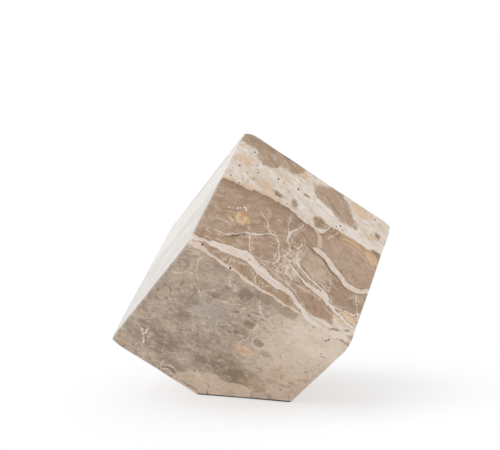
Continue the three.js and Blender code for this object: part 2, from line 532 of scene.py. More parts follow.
def texture_group():
    """Moves a place a little, so that drawn lines run unevenly, and gives uneven tones."""
    outputs = {"Moved": "vector"}
    outputs |= dict.fromkeys(["Ragged", "Cloud", "Mottle", "Grain", "Presence"], "value")
    group, graph, given, result = new_group("Natural texture", {"Block": "vector"}, outputs)
    block = given["Block"]
    broad_reach = 4.0  # millimetres from one side to the other
    fine_reach = 2.0
    elsewhere = (57, 23, 91)
    half = (0.5, 0.5, 0.5)
    _, broad_way = graph.noise(block, size=11, detail=2.0)
    _, fine_way = graph.noise(block, size=2.6, detail=3.0, roughness=0.6)
    broad_shift = graph.stretched(graph.vector("SUBTRACT", broad_way, half), broad_reach)
    fine_shift = graph.stretched(graph.vector("SUBTRACT", fine_way, half), fine_reach)
    graph.feed(result["Moved"], graph.vector("ADD", block, graph.vector("ADD", broad_shift, fine_shift)))
    ragged, _ = graph.noise(block, size=4.2, detail=4.0, roughness=0.62)
    graph.feed(result["Ragged"], graph.minus(ragged, 0.5))
    graph.feed(result["Cloud"], graph.noise(block, size=16, detail=4.0, roughness=0.55)[0])
    graph.feed(result["Mottle"], graph.noise(block, size=4.6, detail=5.0, roughness=0.62)[0])
    graph.feed(result["Grain"], graph.noise(block, size=1.5, detail=3.0, roughness=0.6)[0])
    shifted = graph.vector("ADD", block, elsewhere)
    graph.feed(result["Presence"], graph.noise(shifted, size=8, detail=2.0)[0])
    return group


def streak_group():
    """Streaks along the stone's bedding, turned about the block's second way, and thin threads."""
    inputs = {"Block": "vector", "Turn": "value", "Length": "value", "Thickness": "value"}
    outputs = {"Tone": "value", "Thread": "value"}
    group, graph, given, result = new_group("Bedding streaks", inputs, outputs)
    turned = graph.node("ShaderNodeVectorRotate", {"Vector": given["Block"], "Angle": given["Turn"]},
                        rotation_type="Y_AXIS").outputs[0]
    depth_share = 0.6  # a streak is this much shorter into the face
    depth = graph.times(given["Length"], depth_share)
    scaled = graph.vector("DIVIDE", turned, graph.together(given["Length"], depth, given["Thickness"]))
    feeds = {"Vector": scaled, "Scale": 1.0, "Detail": 4.0, "Roughness": 0.6, "Distortion": 0.5}
    level = graph.node("ShaderNodeTexNoise", feeds).outputs[0]
    graph.feed(result["Tone"], level)
    off = graph.math("ABSOLUTE", graph.minus(level, 0.5))
    graph.feed(result["Thread"], graph.fade(off, 0.03, 0.008))
    return group


def crazing_group():
    """The distance in millimetres from the nearest thread of a broken-up network."""
    inputs = {"Block": "vector", "Size": "value"}
    group, graph, given, result = new_group("Crazed network", inputs, {"Distance": "value"})
    scaled = graph.shrunk(given["Block"], given["Size"])
    feeds = {"Vector": scaled, "Scale": 1.0}
    cells = graph.node("ShaderNodeTexVoronoi", feeds, feature="DISTANCE_TO_EDGE")
    graph.feed(result["Distance"], graph.times(cells.outputs["Distance"], given["Size"]))
    return group


def shell_hash_group():
    """Small round shells, as masks of their rims and of their inside."""
    inputs = {"Block": "vector", "Size": "value"}
    group, graph, given, result = new_group("Shell hash", inputs, {"Rim": "value", "Inside": "value"})
    scaled = graph.shrunk(given["Block"], given["Size"])
    cells = graph.node("ShaderNodeTexVoronoi", {"Vector": scaled, "Scale": 1.0}, feature="F1")
    chance, bulk, _ = graph.parts(cells.outputs["Color"])
    radius = graph.remap(bulk, start=0, end=1, low=0.22, high=0.5)
    here = graph.fade(chance, 0.45, 0.6)
    off = graph.minus(cells.outputs["Distance"], radius)
    graph.feed(result["Rim"], graph.times(graph.fade(graph.math("ABSOLUTE", off), 0.11, 0.02), here))
    graph.feed(result["Inside"], graph.times(graph.fade(off, 0.02, -0.08), here))
    return group


def fleck_group():
    """A mask of small pale crystal flecks."""
    group, graph, given, result = new_group("Crystal flecks", {"Block": "vector"}, {"Mask": "value"})
    per_millimetre = 0.55
    ragged = 0.7
    feeds = {"Vector": given["Block"], "Scale": per_millimetre}
    cells = graph.node("ShaderNodeTexVoronoi", feeds, feature="F1", voronoi_dimensions="3D")
    uneven, _ = graph.noise(given["Block"], size=1.1, detail=2.0)
    reach = graph.plus(cells.outputs["Distance"], graph.times(graph.minus(uneven, 0.5), ragged))
    graph.feed(result["Mask"], graph.fade(reach, 0.42, 0.26))
    return group


def sheet_group():
    """The distance from the middle of the nearest of the wandering vein sheets in the block."""
    inputs = {"Block": "vector", "Spacing": "value", "Offset": "vector"}
    group, graph, given, result = new_group("Vein sheets", inputs, {"Distance": "value"})
    slope = 2.0  # spacings for each unit of the noise, near its middle
    moved = graph.vector("ADD", given["Block"], given["Offset"])
    scaled = graph.shrunk(moved, given["Spacing"])
    feeds = {"Vector": scaled, "Scale": 1.0, "Detail": 2.5, "Roughness": 0.45}
    level = graph.node("ShaderNodeTexNoise", feeds).outputs[0]
    off = graph.math("ABSOLUTE", graph.minus(level, 0.5))
    graph.feed(result["Distance"], graph.times(graph.times(off, given["Spacing"]), slope))
    return group


class Figure:
    """Draws veins and patches in one plane of the block, over a colour that it keeps."""

    def __init__(self, graph, groups, along, across, texture, ground):
        self.graph = graph
        self.groups = groups
        self.along = along
        self.across = across
        self.place = graph.together(along, across)
        self.texture = texture
        self.colour = ground

    def over(self, mask, colour, strength=1.0):
        """Lays a colour over what is there."""
        if strength != 1.0:
            mask = self.graph.times(mask, strength)
        self.colour = self.graph.mix(mask, self.colour, colour)

    def strokes(self, lying, upright=()):
        """The joined distance to veins that lie along the plane's first way and to ones that stand."""
        distances = [self.graph.stroke(self.along, self.across, points) for points in lying]
        distances += [self.graph.stroke(self.across, self.along, points) for points in upright]
        return self.graph.joined(distances)

    def patches(self, ovals):
        """The joined distance to oval patches."""
        distances = []
        for along, across, length, height, turn in ovals:
            mean = math.sqrt(length * height)
            used = self.graph.use(self.groups["patch"], Place=self.place, Centre=(along, across, 0),
                                  Radii=(length, height, 1), Turn=math.radians(-turn), Mean_radius=mean)
            distances.append(used["Distance"])
        return self.graph.joined(distances)

    def inside(self, distance, soft, rough):
        """A mask of what lies inside a distance, with a soft and ragged rim."""
        uneven = self.graph.math("MULTIPLY_ADD", self.texture["Ragged"], rough, distance)
        return self.graph.fade(uneven, soft, -soft)

    def lay(self, ovals, colour, soft, rough, strength=1.0):
        """Lays a colour on oval patches with soft and ragged rims."""
        self.over(self.inside(self.patches(ovals), soft, rough), colour, strength)

    def splinters(self, distance, reach):
        """A mask of thin threads that run beside a vein, some way off it."""
        graph = self.graph
        wander = graph.remap(self.texture["Cloud"], start=0.3, end=0.7, low=0.4, high=reach)
        off = graph.math("ABSOLUTE", graph.minus(distance, wander))
        half_width = 0.3
        here = graph.fade(self.texture["Presence"], 0.44, 0.52)
        return graph.times(self.inside(graph.minus(off, half_width), soft=0.35, rough=0.9), here)

    def above(self, points, soft, rough):
        """A mask of what lies past a drawn line."""
        graph = self.graph
        return self.inside(graph.minus(graph.line(self.along, points), self.across), soft, rough)

    def below(self, points, soft, rough):
        """A mask of what lies short of a drawn line."""
        graph = self.graph
        return self.inside(graph.minus(self.across, graph.line(self.along, points)), soft, rough)

    def streaks(self, depth, turn, length, thickness):
        """Bedding streaks in this plane."""
        place = self.graph.together(self.along, depth, self.across)
        return self.graph.use(self.groups["streaks"], Block=place, Turn=math.radians(turn), Length=length,
                              Thickness=thickness)


def upper_figure(graph, groups, along, down, up, texture):
    """The colours drawn from the upper front face: a pale band, brown blocks and cream veins."""
    fade = graph.fade
    times = graph.times
    plus = graph.plus
    minus = graph.minus
    mix = graph.mix
    cloud = texture["Cloud"]
    mottle = texture["Mottle"]
    patchy = fade(cloud, 0.4, 0.62)
    figure = Figure(graph, groups, along, up, texture, mix(patchy, ROSE_BROWN, WARM_BROWN))
    rising = figure.streaks(down, turn=33, length=26, thickness=3.2)
    falling = figure.streaks(down, turn=-27, length=26, thickness=4)
    level = figure.streaks(down, turn=-8, length=26, thickness=3)
    on_right = fade(along, 50, 75)
    left_tone = times(rising["Tone"], minus(1, on_right))
    tone = plus(left_tone, times(falling["Tone"], on_right))

    # brown ground
    figure.over(fade(tone, 0.48, 0.64), DARK_BROWN, strength=0.55)
    figure.over(fade(tone, 0.46, 0.34), PALE_BROWN, strength=0.5)
    fibres = figure.streaks(down, turn=30, length=12, thickness=1.2)["Tone"]
    figure.over(fade(fibres, 0.53, 0.68), UMBER, strength=0.45)
    figure.over(fade(fibres, 0.46, 0.32), PALE_BROWN, strength=0.5)
    figure.lay(DARK_GROUNDS, DARK_BROWN, soft=4, rough=10, strength=0.45)
    figure.lay(PALE_GROUNDS, PALE_BROWN, soft=5, rough=10, strength=0.5)
    rose = figure.patches(ROSE_BLOCK)
    figure.over(figure.inside(rose, soft=3, rough=6), ROSE_BROWN, strength=0.8)
    heart_depth = 9  # from the rim of the rose block
    figure.over(figure.inside(plus(rose, heart_depth), soft=6, rough=6), TAUPE, strength=0.5)
    figure.lay(PALE_BLOCK, PALE_BROWN, soft=1.5, rough=4)
    figure.lay(OLIVE_PATCHES, OLIVE, soft=1.6, rough=4)
    figure.over(times(fade(mottle, 0.5, 0.66), fade(cloud, 0.42, 0.6)), UMBER, strength=0.35)

    # threads of pale crystal, dense where the stone is broken up
    breccia = figure.inside(figure.patches(BRECCIA), soft=5, rough=9)
    network = graph.use(groups["crazing"], Block=graph.together(along, down, up), Size=4.6)["Distance"]
    figure.over(breccia, PALE_BEIGE, strength=0.22)
    broken = times(fade(network, 0.8, 0.15), fade(mottle, 0.58, 0.44))
    figure.over(times(broken, breccia), CREAM, strength=0.9)
    golden = figure.inside(figure.patches(GOLDEN), soft=3, rough=8)
    figure.over(times(golden, fade(mottle, 0.44, 0.56)), OLIVE, strength=0.8)
    thin = times(falling["Thread"], fade(texture["Presence"], 0.44, 0.6))
    figure.over(thin, ROSE_CREAM, strength=0.4)
    lines = times(rising["Thread"], fade(texture["Presence"], 0.52, 0.4))
    figure.over(lines, UMBER, strength=0.3)
    figure.over(fade(plus(mottle, tone), 1.0, 1.18), OLIVE, strength=0.35)

    # the pale band and what lies in it
    foot = graph.line(along, BAND_FOOT)
    under_band = minus(foot, up)
    rim_width = 6.5
    stain_width = 1.4
    fringe_width = 2.6
    rim = figure.inside(minus(under_band, rim_width), soft=5, rough=7)
    figure.over(rim, mix(fade(along, 78, 92), DARK_BROWN, OCHRE), strength=0.7)
    stain = figure.inside(minus(under_band, stain_width), soft=1.4, rough=6)
    figure.over(times(stain, fade(along, 82, 66)), UMBER, strength=0.55)
    figure.over(figure.inside(figure.strokes(RIM_ARCS), soft=0.7, rough=1.6), PEACH, strength=0.6)
    band = figure.inside(under_band, soft=0.7, rough=4)
    layer = times(plus(plus(level["Tone"], mottle), cloud), 1 / 3)  # their mean
    figure.over(band, mix(fade(layer, 0.44, 0.58), BONE, CREAM))
    figure.over(times(band, fade(layer, 0.53, 0.62)), PALE_BROWN, strength=0.55)
    figure.over(times(band, fade(layer, 0.49, 0.41)), WHITE, strength=0.55)
    over_foot = minus(minus(up, foot), fringe_width)
    fringe = times(band, figure.inside(over_foot, soft=1.6, rough=6))
    figure.over(times(fringe, fade(along, 60, 40)), PEACH, strength=0.8)
    peaches = figure.inside(figure.patches(PEACH_PATCHES), soft=3.5, rough=10)
    figure.over(times(band, peaches), PEACH, strength=0.75)
    over_bright_foot = figure.above(BRIGHT_FOOT, soft=1.2, rough=6)
    bright = times(over_bright_foot, figure.below(BRIGHT_HEAD, soft=2, rough=8))
    figure.over(bright, WHITE, strength=0.45)
    threads = times(level["Thread"], fade(texture["Presence"], 0.42, 0.56))
    figure.over(times(band, threads), OLIVE, strength=0.35)

    top_left = figure.above(TOP_LEFT_FOOT, soft=1.6, rough=8)
    over_right_foot = figure.above(TOP_RIGHT_FOOT, soft=1.6, rough=7)
    top_right = times(over_right_foot, figure.below(TOP_RIGHT_HEAD, soft=3, rough=10))
    tops = graph.math("MAXIMUM", top_left, top_right)
    layered = mix(fade(falling["Tone"], 0.42, 0.66), WARM_BROWN, DARK_BROWN)
    olive_share = 0.6
    ochre_share = 0.35
    thread_share = 0.5
    layered = mix(times(fade(cloud, 0.5, 0.62), olive_share), layered, OLIVE)
    layered = mix(times(fade(mottle, 0.5, 0.62), ochre_share), layered, OCHRE)
    layered = mix(times(falling["Thread"], thread_share), layered, CREAM)
    figure.over(tops, layered, strength=0.92)
    figure.lay(DARK_CORNER, DARK_BROWN, soft=4, rough=9, strength=0.45)
    island_colour = mix(fade(mottle, 0.4, 0.56), OLIVE, DARK_BROWN)
    figure.lay(BROWN_ISLANDS, island_colour, soft=1.4, rough=7, strength=0.92)

    # below the main vein, along the ridge
    cream_colour = mix(fade(cloud, 0.48, 0.64), BONE, PEACH)
    figure.lay(CREAM_PATCHES, cream_colour, soft=1.5, rough=6, strength=0.9)
    brown_colour = mix(fade(mottle, 0.5, 0.7), WARM_BROWN, DARK_BROWN)
    figure.lay(LOWER_BROWNS, brown_colour, soft=0.9, rough=4)
    figure.lay(RIGHT_PEACHES, PEACH, soft=2.5, rough=6, strength=0.8)

    # a shell and the pale bits of it
    figure.lay(SHELL, mix(fade(mottle, 0.44, 0.58), PEACH, OCHRE), soft=0.9, rough=3.5)
    figure.lay(SHELL_HEART, AMBER, soft=1.6, rough=2, strength=0.85)
    figure.lay(SHELL_FLECKS, WHITE, soft=0.3, rough=0.8, strength=0.9)

    # veins, with a dark line beside the wide ones
    dark_line = 0.9  # this far off the side of a vein
    uneven = graph.remap(texture["Presence"], start=0.35, end=0.55, low=0.55, high=1.0)
    at_front = fade(down, 4.0, 1.5)
    seams = times(figure.inside(figure.strokes(DARK_SEAMS), soft=0.7, rough=1), at_front)
    figure.over(seams, SEAM, strength=0.85)
    fine = figure.strokes(FINE_VEINS, FINE_VEINS_UPRIGHT)
    figure.over(figure.splinters(fine, reach=3.0), CREAM, strength=0.6)
    thinning = 0.12
    thinned = plus(fine, thinning)
    figure.over(times(figure.inside(thinned, soft=0.34, rough=1.4), uneven), BONE, strength=0.86)
    # the pale ridge line: partly vein, partly painted highlight of the eased ridge
    ridge = figure.strokes(RIDGE_VEIN_AND_HIGHLIGHT)
    figure.over(figure.inside(ridge, soft=0.5, rough=1.6), ROSE_CREAM)
    cream = figure.strokes(CREAM_VEINS)
    figure.over(figure.splinters(cream, reach=5.0), CREAM, strength=0.75)
    figure.over(figure.inside(minus(cream, dark_line), soft=0.9, rough=1.2), DARK_BROWN, strength=0.4)
    vein_colour = mix(fade(level["Tone"], 0.4, 0.58), BONE, ROSE_CREAM)
    frayed = plus(cream, times(fade(mottle, 0.52, 0.64), fade(along, 66, 80)))
    figure.over(figure.inside(frayed, soft=0.5, rough=2.4), vein_colour)
    selvedge_depth = 0.6
    selvedge_half = 0.1
    from_selvedge = graph.math("ABSOLUTE", plus(frayed, selvedge_depth))
    selvedge = figure.inside(minus(from_selvedge, selvedge_half), soft=0.4, rough=1.2)
    figure.over(selvedge, WHITE, strength=0.5)
    stem = figure.strokes([], WHITE_VEINS_UPRIGHT)
    figure.over(figure.inside(stem, soft=0.8, rough=3), PALE_BEIGE, strength=0.6)
    white = figure.strokes(WHITE_VEINS)
    figure.over(figure.inside(minus(white, dark_line), soft=0.9, rough=1.2), DARK_BROWN, strength=0.4)
    white_colour = mix(fade(mottle, 0.36, 0.56), BONE, CREAM)
    figure.over(figure.inside(white, soft=0.5, rough=1.8), white_colour)
    return figure.colour


def lower_figure(graph, groups, along, down, up, texture, flecks):
    """The colours drawn from the lower front face: greyer, cloudy, with shells and crystal veins."""
    fade = graph.fade
    times = graph.times
    plus = graph.plus
    minus = graph.minus
    mix = graph.mix
    cloud = texture["Cloud"]
    mottle = texture["Mottle"]
    ground = mix(fade(cloud, 0.36, 0.62), TAUPE, GREY_TAUPE)
    figure = Figure(graph, groups, along, down, texture, ground)
    place = graph.together(along, up, down)
    figure.lay(BEIGE_ZONES, BEIGE, soft=15, rough=18, strength=0.85)
    half_light = figure.inside(figure.patches(HALF_LIGHT_ZONE), soft=14, rough=18)
    figure.over(half_light, PALE_BEIGE, strength=0.45)
    light = figure.inside(figure.patches(LIGHT_ZONE), soft=11, rough=18)
    figure.over(light, PALE_BEIGE, strength=0.9)
    clear = graph.remap(graph.math("MAXIMUM", light, half_light), start=0, end=1, low=1.0, high=0.25)
    figure.lay(DARK_ZONES, UMBER, soft=7, rough=14, strength=0.8)
    figure.over(times(fade(mottle, 0.52, 0.68), clear), UMBER, strength=0.3)
    figure.over(times(light, fade(cloud, 0.48, 0.62)), BEIGE, strength=0.5)
    figure.over(fade(mottle, 0.47, 0.34), PALE_BROWN, strength=0.45)
    wisps = figure.streaks(up, turn=-35, length=16, thickness=3)
    dark_wisps = fade(plus(wisps["Tone"], mottle), 1.04, 1.24)
    figure.over(times(dark_wisps, clear), UMBER, strength=0.35)
    figure.over(fade(plus(wisps["Tone"], mottle), 0.94, 0.76), PALE_BROWN, strength=0.5)
    figure.lay(GREY_CLOUDS, COOL_GREY, soft=8, rough=16, strength=0.75)
    figure.lay(PALE_CLOUDS, PALE_BROWN, soft=4, rough=10, strength=0.6)

    # shells, broken and whole
    small = graph.use(groups["shells"], Block=place, Size=7.5)
    figure.over(times(small["Inside"], clear), DARK_BROWN, strength=0.3)
    figure.over(small["Rim"], PALE_BEIGE, strength=0.22)
    elsewhere = (3, 40, 11)
    tiny = graph.use(groups["shells"], Block=graph.vector("ADD", place, elsewhere), Size=3.6)
    figure.over(times(tiny["Rim"], fade(along, 100, 80)), UMBER, strength=0.22)
    round_shells = figure.patches(BROWN_RINGS)
    figure.over(figure.inside(round_shells, soft=0.8, rough=4), TAUPE, strength=0.4)
    rim_half = 0.8
    from_rim = graph.math("ABSOLUTE", round_shells)
    shell_rims = figure.inside(minus(from_rim, rim_half), soft=1, rough=5)
    figure.over(times(shell_rims, fade(mottle, 0.34, 0.52)), UMBER, strength=0.8)
    figure.lay(BROWN_SPOTS, UMBER, soft=0.9, rough=4, strength=0.8)
    figure.lay(FAINT_SPOTS, UMBER, soft=1.6, rough=6, strength=0.5)
    figure.lay(OLIVE_WEDGE, MOSS, soft=1.2, rough=8, strength=0.65)

    scallop = figure.above(SCALLOP_HEAD, soft=0.4, rough=2.4)
    figure.over(scallop, mix(fade(cloud, 0.44, 0.66), BEIGE, PALE_BROWN))
    figure.lay(LOWER_PEACHES, OCHRE, soft=4, rough=12, strength=0.35)
    figure.lay(LOWER_SHELL, PEACH, soft=1.2, rough=5, strength=0.65)
    figure.lay(LOWER_SHELL_HEART, AMBER, soft=1.8, rough=3, strength=0.6)

    # crystals and threads
    mesh_zone = figure.inside(figure.patches(THREAD_ZONES), soft=4, rough=10)
    network = graph.use(groups["crazing"], Block=place, Size=9.0)["Distance"]
    broken = times(fade(network, 0.5, 0.05), fade(texture["Presence"], 0.42, 0.56))
    figure.over(times(broken, mesh_zone), PALE_BEIGE, strength=0.5)
    cluster = figure.inside(figure.patches(FLECK_CLUSTERS), soft=2, rough=5)
    figure.over(times(cluster, flecks), BONE, strength=0.8)
    figure.over(figure.inside(figure.strokes(LOWER_SEAMS), soft=0.6, rough=1.2), SEAM, strength=0.7)
    thin = times(wisps["Thread"], fade(texture["Presence"], 0.46, 0.6))
    figure.over(thin, PALE_BEIGE, strength=0.4)
    uneven = graph.remap(texture["Presence"], start=0.35, end=0.55, low=0.55, high=1.0)
    fine = figure.strokes(LOWER_VEINS, LOWER_VEINS_UPRIGHT)
    thinning = 0.1
    thinned = plus(fine, thinning)
    figure.over(times(figure.inside(thinned, soft=0.36, rough=1.5), uneven), BONE, strength=0.78)
    return figure.colour


def marble_figure_group(groups):
    """The stone's colour anywhere in the block."""
    group, graph, given, result = new_group("Marble figure", {"Block": "vector"}, {"Colour": "colour"})
    texture = graph.use(groups["texture"], Block=given["Block"])
    cloud = texture["Cloud"]
    moved = texture["Moved"]
    along, down, up = graph.parts(moved)
    flecks = graph.use(groups["flecks"], Block=given["Block"])["Mask"]

    # The upper figure runs into the block on a slant, and wanders more the deeper it goes.
    _, drift = graph.noise(given["Block"], size=38, detail=1.5)
    drift_along, drift_up, _ = graph.parts(drift)
    wander_limit = 70.0  # it wanders no more from this depth on
    wander_share = 0.45
    level_along = 0.3  # the noise at which the figure would run straight in
    level_up = 0.45
    depth = graph.math("MINIMUM", graph.math("MAXIMUM", down, 0.0), wander_limit)
    deep = graph.times(depth, wander_share)
    slanted_along = graph.plus(along, graph.times(deep, graph.minus(drift_along, level_along)))
    slanted_up = graph.plus(up, graph.times(deep, graph.minus(drift_up, level_up)))
    upper_colour = upper_figure(graph, groups, slanted_along, down, slanted_up, texture)

    # Behind the front faces more veins of the same kind cross the block.
    hidden = graph.fade(down, 5.0, 18.0)
    sheets = graph.use(groups["sheets"], Block=moved, Spacing=46.0, Offset=(31, 7, 58))["Distance"]
    threads = graph.use(groups["sheets"], Block=moved, Spacing=24.0, Offset=(5, 83, 12))["Distance"]
    hidden_threads = graph.times(graph.fade(threads, 0.5, 0.2), hidden)
    thread_mask = graph.times(hidden_threads, graph.fade(cloud, 0.4, 0.55))
    hidden_colour = graph.mix(thread_mask, upper_colour, ROSE_CREAM)
    sheet_mask = graph.times(graph.fade(sheets, 1.5, 0.9), hidden)
    hidden_colour = graph.mix(sheet_mask, hidden_colour, CREAM)

    lower_colour = lower_figure(graph, groups, along, down, up, texture, flecks)
    rag_reach = 5.0
    near = graph.fade(graph.plus(up, graph.times(texture["Ragged"], rag_reach)), 7.0, 2.0)
    on_lower = graph.times(near, graph.fade(graph.minus(down, up), -0.5, 0.5))
    colour = graph.mix(on_lower, hidden_colour, lower_colour)

    # The left face is painted greyer and cooler, a painted stand-in for the cool grey look of its grazing
    # reflection.
    reflection_grey_share = 0.45
    on_left = graph.fade(graph.parts(given["Block"])[0], 1.2, 0.2)
    colour = graph.mix(graph.times(on_left, reflection_grey_share), colour, LEFT_REFLECTION_GREY)

    # Fine mottle all through, from one grain to the next, and less of it in pale stone.
    coarse = graph.remap(texture["Mottle"], start=0.3, end=0.7, low=0.12, high=-0.12)
    fine = graph.remap(texture["Grain"], start=0.3, end=0.7, low=-0.14, high=0.14)
    pale = graph.fade(graph.parts(colour)[1], 0.36, 0.55)
    uneven = graph.times(graph.plus(coarse, fine), graph.remap(pale, start=0, end=1, low=1.0, high=0.35))
    graph.feed(result["Colour"], graph.shade(colour, graph.plus(uneven, 1.0)))
    return group


def build_groups():
    """Every shared effect, by a short name."""
    groups = {
        "millimetres": block_millimetres_group(),
        "patch": patch_group(),
        "texture": texture_group(),
        "streaks": streak_group(),
        "crazing": crazing_group(),
        "shells": shell_hash_group(),
        "flecks": fleck_group(),
        "sheets": sheet_group(),
    }
    groups["figure"] = marble_figure_group(groups)
    return groups


# Finishes

def new_material(name):
    """A material with its shader: (material, graph, shader)."""
    material = bpy.data.materials.new(name)
    material.use_nodes = True
    material.node_tree.nodes.clear()
    graph = Graph(material.node_tree)
    shader = graph.node("ShaderNodeBsdfPrincipled")
    graph.node("ShaderNodeOutputMaterial", {"Surface": shader.outputs[0]})
    return material, graph, shader


def stone_colour(graph, groups):
    """The marble's colour, and the block's millimetres, in a material."""
    position = graph.node("ShaderNodeTexCoord").outputs["Object"]
    block = graph.use(groups["millimetres"], Position=position)["Block"]
    return graph.use(groups["figure"], Block=block)["Colour"], block


CALCITE_IOR = 1.65
SAWN_ROUGHNESS = 0.75
SAW_DUST_SHARE = 0.35
SAW_STROKE = 0.05  # blade marks for each millimetre along a stroke
SAW_PITCH = 0.9  # and across it
SAW_DEPTH = 0.3 * MM
PIT_ROUGHNESS = 0.9
PIT_DUST_AND_SHADOW_SHARE = 0.85


def polished_marble(groups):
    """The six polished faces and their eased arrises."""
    material, graph, shader = new_material("polished_marble")
    colour, block = stone_colour(graph, groups)
    graph.feed(shader.inputs["Base Color"], colour)
    smear, _ = graph.noise(block, size=9, detail=3.0)
    graph.feed(shader.inputs["Roughness"], graph.remap(smear, start=0.3, end=0.7, low=0.1, high=0.16))
    shader.inputs["IOR"].default_value = CALCITE_IOR
    return material


def sawn_marble(groups):
    """The sawn base, left dull, with the marks of the blade."""
    material, graph, shader = new_material("sawn_marble")
    colour, block = stone_colour(graph, groups)
    along, down, up = graph.parts(block)
    graph.feed(shader.inputs["Base Color"], graph.mix(SAW_DUST_SHARE, colour, PALE_BEIGE))
    shader.inputs["Roughness"].default_value = SAWN_ROUGHNESS
    stroke = graph.times(graph.plus(along, down), SAW_STROKE)
    strokes = graph.together(stroke, graph.times(up, SAW_PITCH))
    marks, _ = graph.noise(strokes, size=1, detail=3.0)
    bump = graph.node("ShaderNodeBump", {"Strength": 0.4, "Distance": SAW_DEPTH, "Height": marks})
    graph.feed(shader.inputs["Normal"], bump.outputs[0])
    return material


def pit_dust_and_base_shadow(groups):
    """A pit's rough inside, with dust in it, and the sawn base's rubbed arris, painted dark as the
    contact shadow under the block.
    """
    material, graph, shader = new_material("pit_dust_and_base_shadow")
    colour, _ = stone_colour(graph, groups)
    graph.feed(shader.inputs["Base Color"], graph.mix(PIT_DUST_AND_SHADOW_SHARE, colour, DUST_AND_BASE_SHADOW))
    shader.inputs["Roughness"].default_value = PIT_ROUGHNESS
    return material


# The block

BASE_EASE_UP = 1.2  # the sawn base's arris is rubbed down by this height
BASE_EASE_IN = 1.0  # and by this width
FLAT_ANGLE = math.radians(0.5)
SHARP_ANGLE = math.radians(35)
CUTS = [2, 3, 4.5, 6, 8, 10.5, 14, 18, 22, 27, 32, 37, 42, 47, 52, 57, 62]  # from both ends of each way
WEAR_REACH = 5.0  # how far from an arris it is worn, in millimetres
CORNER_REACH = 9.0  # how far from a corner it is worn
ARRIS_FLAT = 0.6  # this near to an arris it is worn in full
CORNER_FLAT = 1.5
ARRIS_WEAR = 0.35
CORNER_WEAR = 0.9
WEAR_PATCH = 15  # the size of a worn patch
WEAR_BIAS = 0.25  # more of the arris is worn than not
ON_BASE = 0.01 * MM  # lower than this is in the sawn base
OFF_BASE = 0.1 * MM
SAME_POINT = 0.001 * MM
CUT_SLACK = 0.01 * MM  # a point this near to a cut lies on it
FACING_DOWN = -0.99
PIT_STRETCH = (0.75, 1.25)  # a pit's three widths vary between these
PIT_LUMPS = 0.35
LUMPS_PER_RADIUS = 1.6
KEY_RANGE = (0, 100)  # each pit's lumps come from another part of the noise
PIT_RISE = 0.2  # a pit's middle is this share of its radius outside the face
POLISHED, SAWN, PITTED_AND_BASE_SHADOW = range(3)  # the order of the finishes on the block
FLAT_FACE_WEIGHT = 100  # the large faces alone set the shading


def smooth_share(value, start, end):
    """0 up to start and 1 from end on, with a smooth run between."""
    share = min(max((value - start) / (end - start), 0.0), 1.0)
    return share * share * (3 - 2 * share)


def wear(block):
    """Rubs the arrises unevenly, and the corners more."""
    ways = (ALONG, DOWN, UP)
    for vertex in block.verts:
        if vertex.co.z < ON_BASE:
            continue
        place = [(vertex.co - CORNER).dot(way) / MM for way in ways]
        near = sorted((min(step, EDGE - step), axis) for axis, step in enumerate(place))
        at_arris = smooth_share(near[1][0], WEAR_REACH, ARRIS_FLAT)
        at_corner = smooth_share(near[2][0], CORNER_REACH, CORNER_FLAT)
        patchy = max(solid_noise.noise(Vector(place) / WEAR_PATCH) + WEAR_BIAS, 0.0)
        depth = at_arris * (ARRIS_WEAR * patchy + CORNER_WEAR * at_corner)
        inward = Vector()
        for distance, axis in near:
            way = ways[axis] if place[axis] < EDGE / 2 else -ways[axis]
            inward += way * smooth_share(distance, WEAR_REACH, 0.0)
        if inward.length > 0:
            vertex.co += inward.normalized() * depth * MM


def block_mesh():
    """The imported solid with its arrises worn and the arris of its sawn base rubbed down."""
    block = bmesh.new()
    block.from_mesh(cad_mesh)
    bmesh.ops.remove_doubles(block, verts=block.verts, dist=SAME_POINT)
    bmesh.ops.dissolve_limit(block, angle_limit=FLAT_ANGLE, verts=block.verts, edges=block.edges)
    planes = [((0, 0, BASE_EASE_UP * MM), (0, 0, 1))]
    for way in (ALONG, DOWN, UP):
        planes += [(CORNER + way * step * MM, way) for cut in CUTS for step in (cut, EDGE - cut)]
    for place, normal in planes:
        everything = block.verts[:] + block.edges[:] + block.faces[:]
        bmesh.ops.bisect_plane(block, geom=everything, dist=CUT_SLACK, plane_co=place, plane_no=normal)
    base = [vertex for vertex in block.verts if vertex.co.z < ON_BASE]
    rim = set()
    for vertex in base:
        if any(edge.other_vert(vertex).co.z > OFF_BASE for edge in vertex.link_edges):
            rim.add(vertex)
    wear(block)
    centre = sum((vertex.co for vertex in base), Vector()) / len(base)
    for vertex in rim:
        inward = centre - vertex.co
        vertex.co += inward.normalized() * BASE_EASE_IN * MM
    return block


def rough_ball(cutter, centre, radius, random_source):
    """Adds an uneven ball to the cutting mesh."""
    made = bmesh.ops.create_icosphere(cutter, subdivisions=2, radius=1.0)
    stretch = Vector([random_source.uniform(*PIT_STRETCH) for _ in range(3)])
    key = Vector([random_source.uniform(*KEY_RANGE) for _ in range(3)])
    for vertex in made["verts"]:
        lump = 1 + PIT_LUMPS * solid_noise.noise(vertex.co * LUMPS_PER_RADIUS + key)
        vertex.co = centre + vertex.co * stretch * (lump * radius * MM)


